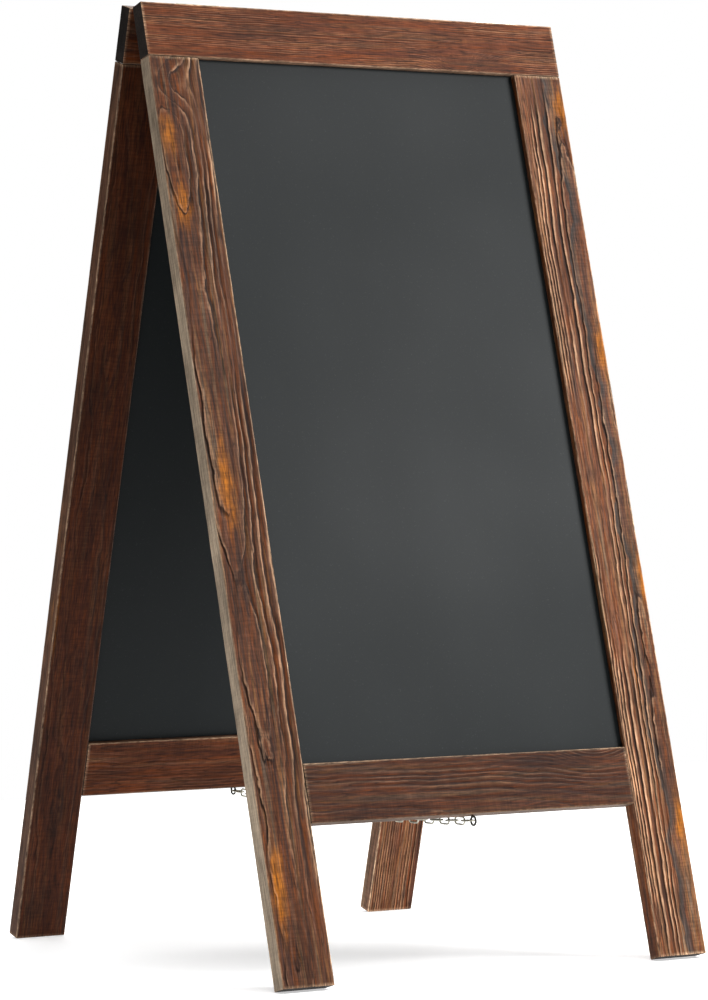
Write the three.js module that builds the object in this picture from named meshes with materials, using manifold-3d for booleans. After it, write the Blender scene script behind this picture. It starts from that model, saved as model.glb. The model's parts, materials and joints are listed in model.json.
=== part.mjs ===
import * as THREE from 'three';
import { mergeVertices } from 'three/addons/utils/BufferGeometryUtils.js';
import Module from 'manifold-3d';

// Double-sided A-frame chalkboard sign: two framed boards hinged along the top and
// held open by a chain. Millimetres, +Z up, +X along the width, front face towards -Y.
// The origin lies on the floor, under the hinge line.

const wasm = await Module();
wasm.setup();

// ---- driving dimensions ----
const panelWidth = 508;
const panelLength = 1016;       // along the slope, from the top face to the leg end
const woodThickness = 18;
const topRailHeight = 58;
const stileWidth = 59;
const bottomRailHeight = 60;
const legBelowRail = 160;       // from the bottom rail's lower edge to the leg end
const halfOpenAngle = 15.4;     // each panel's lean from the vertical, in degrees

const boardThickness = 4;
const boardSetback = 7;         // from the front of the frame to the board's face
const grooveDepth = 9;
const boardPlay = 1;            // left in the groove all round for the board to move

const tenonThickness = 6;
const tenonLength = 25;
const tenonShoulder = 8;        // from a member's edge to its tenon's cheek
const jointGap = 0.3;

const foldedGap = 4;            // between the two panels when they are folded
const pivotRise = 3.5;          // from the panels' top faces to the hinge axis

const hingeLength = 50;
const hingeInset = 70;          // from the panel's side to the middle of its hinge
const leafThickness = 1.8;
const leafReach = 15.5;         // from the hinge axis to the leaf's free edge
const knuckleRadius = 3;
const knuckleCount = 5;
const knuckleGap = 0.4;
const hingePinRadius = 1.5;
const pinClearance = 0.05;
const pinHeadRadius = 2.4;
const pinHeadThickness = 1;

const screwHeadRadius = 3.1;
const screwHeadHeight = 1.5;
const screwShankRadius = 1.5;
const screwLength = 18;
const screwSpacing = 32;
const screwFromAxis = 9.4;      // from the hinge axis to the screw holes
const screwClearance = 0.3;

const eyeRingRadius = 4.4;      // to the middle of the wire
const eyeWireRadius = 1.1;
const eyeShankLength = 20;
const eyeGap = 0.4;             // between the ring and the rail

const chainLinks = 33;
const chainSag = 8;
const linkWireRadius = 0.95;
const linkWidth = 9.5;
const linkPlay = 0.3;           // between two links' wires
const joiningLink = 17;         // the middle one, open on one side so that the halves can part
const joinRun = 4.9;            // how far a wire slides along the opening as it slips out
const joinOffset = 1;           // from the link's middle towards the front to the opening's middle
const wireSides = 8;
const bendSteps = 6;

// ---- derived places ----
const lean = THREE.MathUtils.degToRad(halfOpenAngle);
const toInnerFace = foldedGap / 2;
const pivotHeight = (panelLength + pivotRise) * Math.cos(lean) - toInnerFace * Math.sin(lean);
const stileTop = topRailHeight + jointGap;
const bottomRailTop = panelLength - legBelowRail - bottomRailHeight;
const bottomRailEnd = panelLength - legBelowRail;
const openingWidth = panelWidth - 2 * stileWidth;
const grooveWidth = boardThickness + 2 * jointGap;
const boardMiddle = woodThickness - boardSetback - boardThickness / 2;
const eyeDrop = eyeGap + eyeRingRadius + eyeWireRadius;

// ---- finishes ----
const stainedWood = { color: 0x5e4335, roughness: 0.62, metalness: 0 };
const chalkboard = { color: 0x3a3d3c, roughness: 0.55, metalness: 0 };
const zincSteel = { color: 0xa9aba6, roughness: 0.38, metalness: 1 };
const darkSteel = { color: 0x4a4a48, roughness: 0.45, metalness: 1 };

function toSolid(geometry) {
  const bare = geometry.clone();
  bare.deleteAttribute('normal');
  bare.deleteAttribute('uv');
  const merged = mergeVertices(bare, 1e-4);
  return new wasm.Manifold(new wasm.Mesh({
    numProp: 3,
    vertProperties: new Float32Array(merged.attributes.position.array),
    triVerts: new Uint32Array(merged.index.array),
  }));
}

function toGeometry(solid) {
  const mesh = solid.getMesh();
  const geometry = new THREE.BufferGeometry();
  geometry.setAttribute('position', new THREE.BufferAttribute(mesh.vertProperties, 3));
  geometry.setIndex(new THREE.BufferAttribute(mesh.triVerts, 1));
  return geometry;
}

function cut(geometry, tools) {
  let solid = toSolid(geometry);
  for (const tool of tools) {
    solid = solid.subtract(toSolid(tool));
  }
  return toGeometry(solid);
}

function join(geometries) {
  let solid = toSolid(geometries[0]);
  for (const geometry of geometries.slice(1)) {
    solid = solid.add(toSolid(geometry));
  }
  return toGeometry(solid);
}

function mesh(name, geometry, finish) {
  const made = new THREE.Mesh(geometry, new THREE.MeshStandardMaterial(finish));
  made.name = name;
  return made;
}

// A box between two corners of a panel. A panel's own frame has its hinge axis at the
// origin: x across, z up the slope, and y towards the panel's outer face.
function block(x0, x1, y0, y1, z0, z1) {
  const box = new THREE.BoxGeometry(x1 - x0, y1 - y0, z1 - z0);
  return box.translate((x0 + x1) / 2, (y0 + y1) / 2, (z0 + z1) / 2);
}

// the same box, with heights counted down from the panel's top face
function member(x0, x1, top, bottom, inner = 0, outer = woodThickness) {
  const y = toInnerFace;
  return block(x0, x1, y + inner, y + outer, -pivotRise - bottom, -pivotRise - top);
}

function slot(x0, x1, top, bottom, middle, width) {
  return member(x0, x1, top, bottom, middle - width / 2, middle + width / 2);
}

// ---- frame members, in the panel's own frame ----
const halfWidth = panelWidth / 2;
const tenonMiddle = woodThickness / 2;
const mortiseWidth = tenonThickness + 2 * jointGap;
const screwStations = [-screwSpacing / 2, screwSpacing / 2];
const hingeStation = halfWidth - hingeInset;

function pilotHole(x, y, length, radius) {
  const hole = new THREE.CylinderGeometry(radius, radius, length, 16);
  return hole.rotateX(Math.PI / 2).translate(x, y, -pivotRise - length / 2 + jointGap);
}

function topRail() {
  const tools = [slot(-openingWidth / 2 - grooveDepth, openingWidth / 2 + grooveDepth,
    topRailHeight - grooveDepth, topRailHeight + jointGap, boardMiddle, grooveWidth)];
  for (const side of [-1, 1]) {
    const edges = [side * (halfWidth - tenonShoulder), side * (openingWidth / 2 + tenonShoulder)];
    const [x0, x1] = edges.sort((a, b) => a - b);
    tools.push(slot(x0 - jointGap, x1 + jointGap, topRailHeight - tenonLength - jointGap,
      topRailHeight + jointGap, tenonMiddle, mortiseWidth));
  }
  for (const hingeX of [-hingeStation, hingeStation]) {
    for (const station of screwStations) {
      tools.push(pilotHole(hingeX + station, screwFromAxis, screwLength + 1,
        screwShankRadius + screwClearance));
    }
  }
  return cut(member(-halfWidth, halfWidth, 0, topRailHeight), tools);
}

function stile(side) {
  const outer = side * halfWidth;
  const inner = side * openingWidth / 2;
  const [x0, x1] = [outer, inner].sort((a, b) => a - b);
  const [t0, t1] = [outer - side * tenonShoulder, inner + side * tenonShoulder].sort((a, b) => a - b);
  const body = member(x0, x1, stileTop, panelLength);
  const tenon = slot(t0, t1, topRailHeight - tenonLength, stileTop + 1, tenonMiddle, tenonThickness);
  const [g0, g1] = [inner + side * grooveDepth, inner - side].sort((a, b) => a - b);
  const groove = slot(g0, g1, stileTop - tenonLength, bottomRailTop + grooveDepth,
    boardMiddle, grooveWidth);
  const [m0, m1] = [inner + side * (tenonLength + jointGap), inner - side].sort((a, b) => a - b);
  const mortise = slot(m0, m1, bottomRailTop + tenonShoulder - jointGap,
    bottomRailEnd - tenonShoulder + jointGap, tenonMiddle, mortiseWidth);
  return cut(join([body, tenon]), [groove, mortise]);
}

function bottomRail() {
  const half = openingWidth / 2 - jointGap;
  const body = member(-half, half, bottomRailTop, bottomRailEnd);
  const tenon = slot(-openingWidth / 2 - tenonLength, openingWidth / 2 + tenonLength,
    bottomRailTop + tenonShoulder, bottomRailEnd - tenonShoulder, tenonMiddle, tenonThickness);
  const groove = slot(-halfWidth, halfWidth, bottomRailTop - 1, bottomRailTop + grooveDepth,
    boardMiddle, grooveWidth);
  const eyeHole = new THREE.CylinderGeometry(eyeWireRadius + jointGap, eyeWireRadius + jointGap,
    eyeShankLength + 1, 16);
  eyeHole.rotateX(Math.PI / 2);
  eyeHole.translate(0, toInnerFace + woodThickness / 2,
    -pivotRise - bottomRailEnd + eyeShankLength / 2);
  return cut(join([body, tenon]), [groove, eyeHole]);
}

function board() {
  const edge = grooveDepth - boardPlay;
  return slot(-openingWidth / 2 - edge, openingWidth / 2 + edge, topRailHeight - edge,
    bottomRailTop + edge, boardMiddle, boardThickness);
}

// ---- butt hinges, surface-mounted on the top faces ----
const leafBottom = -pivotRise + jointGap;
const leafTop = leafBottom + leafThickness;
const knuckleLength = hingeLength / knuckleCount;

function alongX(radius, length, x, segments) {
  const rod = new THREE.CylinderGeometry(radius, radius, length, segments);
  return rod.rotateZ(Math.PI / 2).translate(x, 0, 0);
}

// Leaves share the knuckles between them: the first leaf has those with an even number.
function hingeLeaf(hingeX, parity) {
  const relief = knuckleRadius + knuckleGap;
  const pieces = [block(hingeX - hingeLength / 2, hingeX + hingeLength / 2,
    relief, leafReach, leafBottom, leafTop)];
  for (let i = 0; i < knuckleCount; i += 1) {
    if (i % 2 === parity) {
      const x = hingeX - hingeLength / 2 + (i + 0.5) * knuckleLength;
      const low = x - knuckleLength / 2 + (i === 0 ? 0 : knuckleGap / 2);
      const high = x + knuckleLength / 2 - (i === knuckleCount - 1 ? 0 : knuckleGap / 2);
      pieces.push(alongX(knuckleRadius, high - low, (low + high) / 2, 28));
      pieces.push(block(low, high, 0, relief + 1, leafBottom, leafTop));
    }
  }
  const tools = [alongX(hingePinRadius + pinClearance, hingeLength + 2, hingeX, 24)];
  for (const station of screwStations) {
    const hole = new THREE.CylinderGeometry(screwHeadRadius + screwClearance,
      screwShankRadius + screwClearance, screwHeadHeight, 20);
    hole.rotateX(Math.PI / 2);
    hole.translate(hingeX + station, screwFromAxis, leafTop - screwHeadHeight / 2 + 0.001);
    const through = new THREE.CylinderGeometry(screwShankRadius + screwClearance,
      screwShankRadius + screwClearance, 3 * leafThickness, 20);
    through.rotateX(Math.PI / 2);
    through.translate(hingeX + station, screwFromAxis, leafBottom);
    tools.push(hole, through);
  }
  return cut(join(pieces), tools);
}

function hingePin(hingeX) {
  const half = hingeLength / 2 + jointGap;
  const outline = [
    [0, -half - pinHeadThickness],
    [pinHeadRadius * 0.7, -half - pinHeadThickness],
    [pinHeadRadius, -half - pinHeadThickness * 0.5],
    [pinHeadRadius, -half],
    [hingePinRadius, -half],
    [hingePinRadius, half],
    [pinHeadRadius, half],
    [pinHeadRadius, half + pinHeadThickness * 0.5],
    [pinHeadRadius * 0.7, half + pinHeadThickness],
    [0, half + pinHeadThickness],
  ].map(([r, z]) => new THREE.Vector2(r, z));
  return new THREE.LatheGeometry(outline, 24).rotateZ(-Math.PI / 2).translate(hingeX, 0, 0);
}

function hingeScrew(x) {
  const top = leafTop - 0.1;
  const outline = [
    [0, top - screwLength],
    [screwShankRadius, top - screwLength + 4],
    [screwShankRadius, top - screwHeadHeight],
    [screwHeadRadius, top],
    [0, top],
  ].map(([r, z]) => new THREE.Vector2(r, z));
  return new THREE.LatheGeometry(outline, 16).rotateX(Math.PI / 2).translate(x, screwFromAxis, 0);
}

// ---- chain and its two screw eyes ----
function screwEye() {
  const ring = new THREE.TorusGeometry(eyeRingRadius, eyeWireRadius, 10, 28);
  ring.rotateY(Math.PI / 2);
  const shankOutline = [
    [0, eyeRingRadius - eyeWireRadius * 0.4],
    [eyeWireRadius, eyeRingRadius],
    [eyeWireRadius, eyeDrop + eyeShankLength - 5],
    [0, eyeDrop + eyeShankLength - 1],
  ].map(([r, z]) => new THREE.Vector2(r, z));
  const shank = new THREE.LatheGeometry(shankOutline, 12).rotateX(Math.PI / 2);
  const eye = join([ring, shank]);
  return eye.translate(0, toInnerFace + woodThickness / 2,
    -pivotRise - bottomRailEnd - eyeDrop);
}

// Stations round a link: two half circles, with straight runs between them.
function stadium(width, length) {
  const bend = width / 2;
  const run = length / 2 - bend;
  const stations = [];
  for (const [middle, start] of [[run, 0], [-run, Math.PI]]) {
    for (let i = 0; i <= bendSteps; i += 1) {
      const angle = start + (Math.PI * i) / bendSteps;
      stations.push(new THREE.Vector3(bend * Math.cos(angle), middle + bend * Math.sin(angle), 0));
    }
  }
  return stations;
}

// A closed wire loop: a round section carried round the stations of a stadium path.
function linkLoop() {
  const stations = stadium(linkWidth - 2 * linkWireRadius,
    linkPitch + 2 * linkWireRadius + linkPlay);
  const count = stations.length;
  const positions = [];
  const index = [];
  stations.forEach((point, i) => {
    const before = stations[(i + count - 1) % count];
    const after = stations[(i + 1) % count];
    const along = after.clone().sub(before).normalize();
    const out = new THREE.Vector3(along.y, -along.x, 0);
    for (let k = 0; k < wireSides; k += 1) {
      const angle = (2 * Math.PI * k) / wireSides;
      const place = point.clone().addScaledVector(out, linkWireRadius * Math.cos(angle));
      positions.push(place.x, place.y, linkWireRadius * Math.sin(angle));
      const a = i * wireSides + k;
      const b = i * wireSides + ((k + 1) % wireSides);
      const c = ((i + 1) % count) * wireSides + k;
      const d = ((i + 1) % count) * wireSides + ((k + 1) % wireSides);
      index.push(a, c, b, b, c, d);
    }
  });
  const loop = new THREE.BufferGeometry();
  loop.setAttribute('position', new THREE.Float32BufferAttribute(positions, 3));
  loop.setIndex(index);
  return loop;
}

// The joining link: the same loop with an opening in its right side.
function openLoop() {
  const slot = new THREE.BoxGeometry(linkWidth, 2 * linkWireRadius + joinRun, linkWidth);
  slot.translate(linkWidth / 2, -joinOffset, 0);
  return cut(linkLoop(), [slot]);
}

const eyeSlope = panelLength - legBelowRail + eyeDrop + pivotRise;
const eyeOut = toInnerFace + woodThickness / 2;
const eyeY = eyeSlope * Math.sin(lean) + eyeOut * Math.cos(lean);
const eyeZ = pivotHeight - eyeSlope * Math.cos(lean) + eyeOut * Math.sin(lean);
const chainReach = eyeY - eyeRingRadius + eyeWireRadius + linkPlay / 2;
const linkPitch = (2 * chainReach) / chainLinks;

function chainPoint(index) {
  const y = -chainReach + index * linkPitch;
  return new THREE.Vector3(0, y, eyeZ - chainSag * (1 - (y / chainReach) ** 2));
}

function chain() {
  const links = new THREE.Group();
  for (let i = 0; i < chainLinks; i += 1) {
    const start = chainPoint(i);
    const end = chainPoint(i + 1);
    const name = `chain_link_${String(i + 1).padStart(2, '0')}`;
    const link = mesh(name, i + 1 === joiningLink ? openLoop() : linkLoop(), zincSteel);
    link.rotation.order = 'XYZ';
    link.rotation.x = Math.atan2(end.z - start.z, end.y - start.y);
    link.rotation.y = i % 2 === 0 ? 0 : Math.PI / 2;
    link.position.copy(start.add(end).multiplyScalar(0.5));
    links.add(link);
  }
  return links;
}

// ---- one panel, with the hinge leaves that are screwed to it ----
// Left and right are as seen from the front, so the front panel, which is the back one
// turned half a turn, has its left side at its own +x.
function panel(face, leftSide, parity) {
  const group = new THREE.Group();
  group.add(
    mesh(`${face}_top_rail`, topRail(), stainedWood),
    mesh(`${face}_left_stile`, stile(leftSide), stainedWood),
    mesh(`${face}_right_stile`, stile(-leftSide), stainedWood),
    mesh(`${face}_bottom_rail`, bottomRail(), stainedWood),
    mesh(`${face}_chalkboard`, board(), chalkboard),
    mesh(`${face}_chain_eye`, screwEye(), darkSteel),
  );
  for (const [hand, side] of [['left', leftSide], ['right', -leftSide]]) {
    const hingeX = side * hingeStation;
    group.add(mesh(`${hand}_hinge_${face}_leaf`, hingeLeaf(hingeX, parity), zincSteel));
    screwStations.forEach((station, i) => {
      const screw = hingeScrew(hingeX + leftSide * -station);
      group.add(mesh(`${hand}_hinge_${face}_screw_${i + 1}`, screw, zincSteel));
    });
  }
  return group;
}

const easel = new THREE.Group();
const hingeLine = new THREE.Group();
hingeLine.position.z = pivotHeight;
for (const [face, turn, leftSide, parity] of [['front', Math.PI, 1, 0], ['back', 0, -1, 1]]) {
  const leaning = panel(face, leftSide, parity);
  leaning.rotation.x = lean;
  const turned = new THREE.Group();
  turned.rotation.z = turn;
  turned.add(leaning);
  hingeLine.add(turned);
}
for (const [hand, side] of [['left', -1], ['right', 1]]) {
  hingeLine.add(mesh(`${hand}_hinge_pin`, hingePin(side * hingeStation), darkSteel));
}
easel.add(hingeLine, chain());

export default easel;
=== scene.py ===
import json
import math
from functools import partial

import bmesh
import bpy
import numpy as np
from mathutils import Matrix, Vector


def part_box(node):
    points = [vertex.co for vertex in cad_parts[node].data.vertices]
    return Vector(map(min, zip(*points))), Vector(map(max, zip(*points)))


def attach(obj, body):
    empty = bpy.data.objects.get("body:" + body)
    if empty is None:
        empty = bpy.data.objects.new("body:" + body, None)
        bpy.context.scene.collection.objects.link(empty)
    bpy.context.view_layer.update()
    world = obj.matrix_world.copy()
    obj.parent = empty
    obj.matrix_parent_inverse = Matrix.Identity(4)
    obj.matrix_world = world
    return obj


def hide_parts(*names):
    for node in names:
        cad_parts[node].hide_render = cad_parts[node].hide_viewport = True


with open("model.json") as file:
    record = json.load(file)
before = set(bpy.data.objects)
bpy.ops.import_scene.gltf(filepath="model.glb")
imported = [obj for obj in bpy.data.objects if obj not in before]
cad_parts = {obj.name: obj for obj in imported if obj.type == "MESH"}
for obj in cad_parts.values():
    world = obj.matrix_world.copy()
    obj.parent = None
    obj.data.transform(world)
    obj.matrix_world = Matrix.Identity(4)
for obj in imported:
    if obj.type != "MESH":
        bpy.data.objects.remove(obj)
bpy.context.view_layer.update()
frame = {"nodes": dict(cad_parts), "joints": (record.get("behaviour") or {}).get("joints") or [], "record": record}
mm = 0.001

# the kinds of node that come up most
maths = "ShaderNodeMath"
vectorMaths = "ShaderNodeVectorMath"
mapRange = "ShaderNodeMapRange"
eased = {"interpolation_type": "SMOOTHSTEP"}      # for a map range that starts and ends gently


def linear(hexColour):      # sRGB hex to linear RGBA
    parts = [int(hexColour[i:i + 2], 16) / 255 for i in (1, 3, 5)]
    flat = [c / 12.92 if c <= 0.04045 else ((c + 0.055) / 1.055) ** 2.4 for c in parts]
    return (*flat, 1.0)


def addNode(tree, kind, links=None, **settings):
    # adds a node, sets it, feeds its inputs, and gives back the first output in use
    made = tree.nodes.new(kind)
    for name, value in settings.items():
        setattr(made, name, value)
    for key, value in (links or {}).items():
        if isinstance(value, bpy.types.NodeSocket):
            tree.links.new(value, made.inputs[key])
        else:
            made.inputs[key].default_value = value
    return next((output for output in made.outputs if output.enabled), made)


def newTree(name, sockets):
    tree = bpy.data.node_groups.new(name, "GeometryNodeTree")
    tree.interface.new_socket("Geometry", in_out="INPUT", socket_type="NodeSocketGeometry")
    for label, kind in sockets.items():
        tree.interface.new_socket(label, in_out="INPUT", socket_type="NodeSocket" + kind)
    tree.interface.new_socket("Geometry", in_out="OUTPUT", socket_type="NodeSocketGeometry")
    return tree, tree.nodes.new("NodeGroupInput")


def finishTree(tree, geometry, material):
    whole = addNode(tree, "GeometryNodeRealizeInstances", {0: geometry})
    dressed = addNode(tree, "GeometryNodeSetMaterial", {"Geometry": whole, "Material": material})
    addNode(tree, "NodeGroupOutput", {0: dressed})


def runTree(name, mesh, tree, values):
    # runs a tree on a mesh and keeps the result as a plain mesh object
    carrier = bpy.data.objects.new(name, mesh)
    bpy.context.scene.collection.objects.link(carrier)
    modifier = carrier.modifiers.new(tree.name, "NODES")
    modifier.node_group = tree
    for item in tree.interface.items_tree:
        if item.item_type == "SOCKET" and item.in_out == "INPUT" and item.name in values:
            modifier[item.identifier] = values[item.name]
    graph = bpy.context.evaluated_depsgraph_get()
    result = bpy.data.meshes.new_from_object(carrier.evaluated_get(graph))
    carrier.modifiers.clear()
    carrier.data = result
    result.name = name
    return carrier


def newMaterial(name):
    material = bpy.data.materials.new(name)
    material.use_nodes = True
    tree = material.node_tree
    return material, tree, tree.nodes["Principled BSDF"]


fold = next(j for j in frame["joints"] if j["name"] == "fold")
hingeLine = Vector(fold["pos_m"])
lean = math.radians(fold["range_deg"][1] / 2)      # each panel's lean from upright


def panelPlace(face):
    # a panel's own frame: hinge line at the origin, y to its outer face, z up the slope
    turn = math.pi if face == "front" else 0
    return Matrix.Translation(hingeLine) @ Matrix.Rotation(turn, 4, "Z") @ Matrix.Rotation(lean, 4, "X")


def panelBox(node):
    face = "front" if "front" in node else "back"
    away = panelPlace(face).inverted()
    corners = [away @ v.co for v in frame["nodes"][node].data.vertices]
    return [Vector(pick(c[i] for c in corners) for i in range(3)) for pick in (min, max)]


camera = {
    "place": (-2.2514, -3.6369, 0.5090),
    "yaw": 31.88,            # from straight ahead (+Y) towards +X
    "pitch": -0.48,
    "roll": -0.40,
    "lens": 145.7,           # on a 36 mm sensor along the tall side
}


def makeCamera():
    data = bpy.data.cameras.new("camera")
    data.sensor_width = 36
    data.lens = camera["lens"]
    data.clip_end = 100
    seat = bpy.data.objects.new("camera", data)
    seat.matrix_world = (
        Matrix.Translation(camera["place"])
        @ Matrix.Rotation(math.radians(-camera["yaw"]), 4, "Z")
        @ Matrix.Rotation(math.radians(90 + camera["pitch"]), 4, "X")
        @ Matrix.Rotation(math.radians(camera["roll"]), 4, "Z")
    )
    bpy.context.scene.collection.objects.link(seat)
    bpy.context.scene.camera = seat


makeCamera()
print("camera ready")


timber = {
    "arris": 1.1,            # mm, radius left on the sawn edges
    "stepAlong": 2.6,        # mm between mesh stations along the grain
    "stepAcross": 0.75,
    "stepThick": 1.5,
    "jointGap": 0.3,
    "grooveDepth": 9.0,
    "red": "#4c2a20",        # what the reddish planks lean to
    "torn": "#262220",       # the torn band
    "softWood": "#120805",
    # pale hard ridges, together with the painted highlight on their edges
    "hardWoodAndHighlight": "#8f7564",
    "rubbedAndLit": "#b09884",     # worn arrises, lightened further as a painted highlight
    "hue": 0.503,            # 0.5 leaves the colours as they are
    "saturation": 1.24,
}


def stations(length, step, arris, extra=()):
    inner = max(2, round((length - 2 * arris) / step))
    marks = [0, arris * 0.4, arris]
    marks += [arris + (length - 2 * arris) * i / inner for i in range(1, inner)]
    marks += [length - arris, length - arris * 0.4, length]
    marks = [m for m in marks if all(abs(m - e) > step * 0.35 for e in extra)]
    return np.array(sorted(marks + list(extra)))


def plankMesh(name, size, step, groove):
    # a box grid in mm: x along the grain, y across it, z to the outer face, with soft arrises
    arris = timber["arris"]
    cuts = groove or {}
    axes = [stations(size[i], step[i], arris, cuts.get("xyz"[i], ())) for i in range(3)]
    counts = [len(a) for a in axes]
    number = -np.ones(counts, int)
    grid = np.stack(np.meshgrid(*axes, indexing="ij"), -1)
    skin = np.zeros(counts, bool)
    for i in range(3):
        edge = [slice(None)] * 3
        for edge[i] in (0, -1):
            skin[tuple(edge)] = True
    number[skin] = np.arange(skin.sum())
    points = grid[skin]
    low, high = np.full(3, arris), np.array(size, float) - arris
    core = np.clip(points, low, high)
    away = points - core
    reach = np.linalg.norm(away, axis=1, keepdims=True)
    points = core + np.where(reach > 0, away / np.maximum(reach, 1e-9) * arris, 0)
    quads = []
    for i in range(3):
        a, b = [k for k in range(3) if k != i]
        for end, flip in ((0, True), (-1, False)):
            edge = [slice(None)] * 3
            edge[i] = end
            sheet = number[tuple(edge)]
            four = [sheet[:-1, :-1], sheet[1:, :-1], sheet[1:, 1:], sheet[:-1, 1:]]
            if flip != (i == 1):
                four.reverse()
            quads.append(np.stack([f.ravel() for f in four], 1))
    faces = np.concatenate(quads)
    mesh = bpy.data.meshes.new(name)
    mesh.from_pydata((points * mm).tolist(), [], faces.tolist())
    if groove:
        cutGroove(mesh, size, groove)
    return mesh


def cutGroove(mesh, size, groove):
    # pushes the strip of faces inside the groove's outline into the edge of the plank
    bm = bmesh.new()
    bm.from_mesh(mesh)
    x0, x1 = groove["x"]
    z0, z1 = groove["z"]
    side = groove["side"]
    level = 0 if side < 0 else size[1]
    picked = []
    for f in bm.faces:
        c = f.calc_center_median() / mm
        if abs(c.y - level) < 0.01 and x0 < c.x < x1 and z0 < c.z < z1:
            picked.append(f)
    made = bmesh.ops.extrude_face_region(bm, geom=picked)
    moved = [g for g in made["geom"] if isinstance(g, bmesh.types.BMVert)]
    bmesh.ops.translate(bm, verts=moved, vec=(0, -side * timber["grooveDepth"] * mm, 0))
    bmesh.ops.delete(bm, geom=picked, context="FACES_ONLY")
    bm.to_mesh(mesh)
    bm.free()


def grainTree(finish):
    # brushed softwood: growth rings round a pith line, the soft wood worn away between them
    tree, given = newTree("brushedPlank", {
        "size": "Vector", "pith side": "Float", "pith depth": "Float", "pith tilt": "Float",
        "wander": "Float", "wobble": "Float", "ring width": "Float", "valley": "Float",
        "relief": "Float", "knot": "Vector", "knot size": "Float", "knot lift": "Float", "seed": "Float",
        "tone": "Vector", "tear": "Float", "planed": "Vector", "band": "Vector",
        "spot one": "Vector", "spot two": "Vector", "spot three": "Vector", "spot four": "Vector",
    })
    add = partial(addNode, tree)
    g = given.outputs
    place = add("GeometryNodeInputPosition")
    grain = add(vectorMaths, {0: place, "Scale": 1000.0}, operation="SCALE")
    apart = add("ShaderNodeSeparateXYZ", {0: grain}).node.outputs
    size = add("ShaderNodeSeparateXYZ", {0: g["size"]}).node.outputs
    u, v, w = apart[0], apart[1], apart[2]

    # slow waves of the pith line and quick wobbles of the rings
    waves = []
    for along, across, shift, amount in ((260, 0, 0, g["wander"]), (150, 0, 9, g["wander"]),
                                         (48, 24, 20, g["wobble"]), (11, 5, 33, g["tear"]),
                                         (62, 0, 44, g["wobble"])):
        cu = add(maths, {0: u, 1: 1 / along}, operation="MULTIPLY")
        cv = add(maths, {0: v, 1: 1 / across if across else 0.0}, operation="MULTIPLY")
        cs = add(maths, {0: g["seed"], 1: float(shift)}, operation="ADD")
        at = add("ShaderNodeCombineXYZ", {0: cu, 1: cv, 2: cs})
        noise = add("ShaderNodeTexNoise", {"Vector": at, "Scale": 1.0, "Detail": 1.5})
        even = add(maths, {0: noise, 1: 0.5}, operation="SUBTRACT")
        waves.append(add(maths, {0: even, 1: amount}, operation="MULTIPLY"))

    toPith = add(maths, {0: v, 1: g["pith side"]}, operation="SUBTRACT")
    for wave in (waves[0], waves[4]):
        toPith = add(maths, {0: toPith, 1: wave}, operation="SUBTRACT")
    tilt = add(maths, {0: u, 1: g["pith tilt"]}, operation="MULTIPLY")
    tilt = add(maths, {0: tilt, 1: 0.001}, operation="MULTIPLY")
    deep = add(maths, {0: size[2], 1: w}, operation="SUBTRACT")
    for more in (g["pith depth"], tilt, waves[1]):
        deep = add(maths, {0: deep, 1: more}, operation="ADD")
    both = add("ShaderNodeCombineXYZ", {0: toPith, 1: deep})
    radius = add(vectorMaths, {0: both}, operation="LENGTH")
    for wave in waves[2:4]:
        radius = add(maths, {0: radius, 1: wave}, operation="ADD")

    # how squarely this side of the plank cuts the rings: 1 across them, 0 along them
    normal = add("GeometryNodeInputNormal")
    flatNormal = add(vectorMaths, {0: normal, 1: (0, 1, 1)}, operation="MULTIPLY")
    below = add(maths, {0: deep, 1: -1.0}, operation="MULTIPLY")
    outward = add("ShaderNodeCombineXYZ", {1: toPith, 2: below})
    outward = add(vectorMaths, {0: outward}, operation="NORMALIZE")
    cut = add(vectorMaths, {0: flatNormal, 1: outward}, operation="CROSS_PRODUCT")
    cut = add(vectorMaths, {0: cut}, operation="LENGTH")
    cut = add(mapRange, {"Value": cut, 1: 0.0, 2: 0.85, 3: 0.22, 4: 1.0})

    # a knot swells the rings round it, so that they close into loops
    fromKnot = add(vectorMaths, {0: grain, 1: g["knot"]}, operation="SUBTRACT")
    fromKnot = add(vectorMaths, {0: fromKnot, 1: (0.62, 1.0, 0.25)}, operation="MULTIPLY")
    far = add(vectorMaths, {0: fromKnot}, operation="LENGTH")
    far = add(maths, {0: far, 1: g["knot size"]}, operation="DIVIDE")
    far = add(maths, {0: far, 1: far}, operation="MULTIPLY")
    far = add(maths, {0: far, 1: -1.0}, operation="MULTIPLY")
    swell = add(maths, {0: far}, operation="EXPONENT")
    swell = add(maths, {0: swell, 1: g["knot size"]}, operation="MULTIPLY")
    swell = add(maths, {0: swell, 1: g["knot lift"]}, operation="MULTIPLY")
    radius = add(maths, {0: radius, 1: swell}, operation="ADD")
    ring = add(maths, {0: radius, 1: g["ring width"]}, operation="DIVIDE")

    # no two years alike
    year = add(maths, {0: ring, 1: 0.37}, operation="MULTIPLY")
    year = add("ShaderNodeCombineXYZ", {0: year, 1: g["seed"]})
    year = add("ShaderNodeTexNoise", {"Vector": year, "Scale": 1.0, "Detail": 0.0})
    year = add(maths, {0: year, 1: 1.5}, operation="MULTIPLY")
    ring = add(maths, {0: ring, 1: year}, operation="ADD")

    # how near the year's soft wood is: a narrow valley, steep on one side
    phase = add(maths, {0: ring}, operation="FRACT")
    past = add(maths, {0: phase, 1: cut}, operation="DIVIDE")
    ahead = add(maths, {0: 1.0, 1: phase}, operation="SUBTRACT")
    ahead = add(maths, {0: ahead, 1: cut}, operation="DIVIDE")
    slow = add(mapRange, {"Value": past, 1: 0.08, 2: g["valley"], 3: 1.0, 4: 0.0}, **eased)
    steep = add(mapRange, {"Value": ahead, 1: 0.0, 2: 0.12, 3: 1.0, 4: 0.0}, **eased)
    valley = add(maths, {0: slow, 1: steep}, operation="MAXIMUM")

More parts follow.
